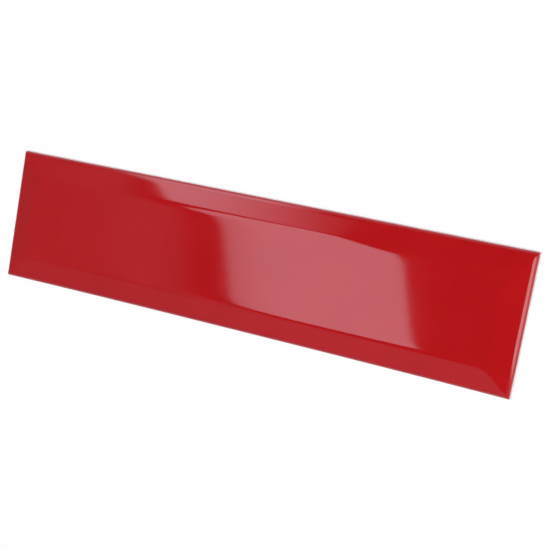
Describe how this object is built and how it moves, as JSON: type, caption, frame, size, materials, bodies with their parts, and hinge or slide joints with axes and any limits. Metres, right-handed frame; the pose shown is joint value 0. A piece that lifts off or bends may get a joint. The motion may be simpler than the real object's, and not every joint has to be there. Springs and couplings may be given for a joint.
{
  "type": "bevelled wall tile",
  "caption": "Long narrow glossy red ceramic wall tile: a flat middle with shallow mitred bevels falling to its edges, and a flat keyed back.",
  "frame": {"origin": "middle of the flat back, so the back lies on z = 0 and the tile lies face up", "axes": "+X along the tile, +Y across it, +Z out of the glazed face"},
  "size_m": [0.3, 0.075, 0.008],
  "materials": {
    "glaze": "deep red high-gloss glaze over a pale fired body that stays bare on the back and the lower sides"
  },
  "bodies": {
    "root": {"bevelled_tile": "glaze"}
  },
  "joints": []
}
